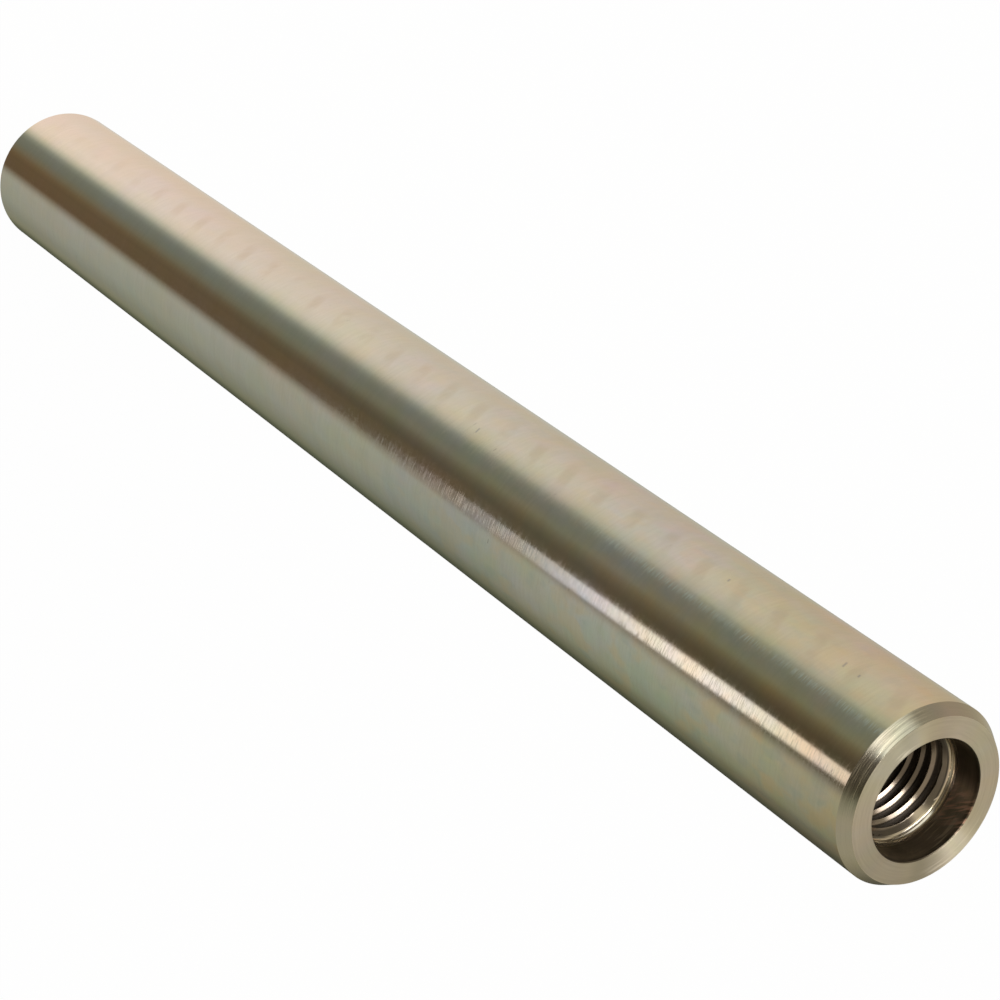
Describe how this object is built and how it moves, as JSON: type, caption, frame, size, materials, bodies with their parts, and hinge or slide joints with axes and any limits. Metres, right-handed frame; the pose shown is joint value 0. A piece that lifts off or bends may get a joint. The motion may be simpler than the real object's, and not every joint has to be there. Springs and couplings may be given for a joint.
{
  "type": "pivot pin",
  "caption": "Long plain steel pivot pin with chamfered ends, counterbored and tapped on its axis at one end.",
  "frame": {"origin": "centre of the plain end face, which the pin stands on", "axes": "+Z along the pin's axis, towards the tapped end; X and Y are free, since the pin is turned"},
  "size_m": [0.0254, 0.0254, 0.254],
  "materials": {
    "plated_steel": "fine-turned steel with a thin chromated zinc plating"
  },
  "bodies": {
    "root": {"pivot_pin": "plated_steel"}
  },
  "joints": []
}
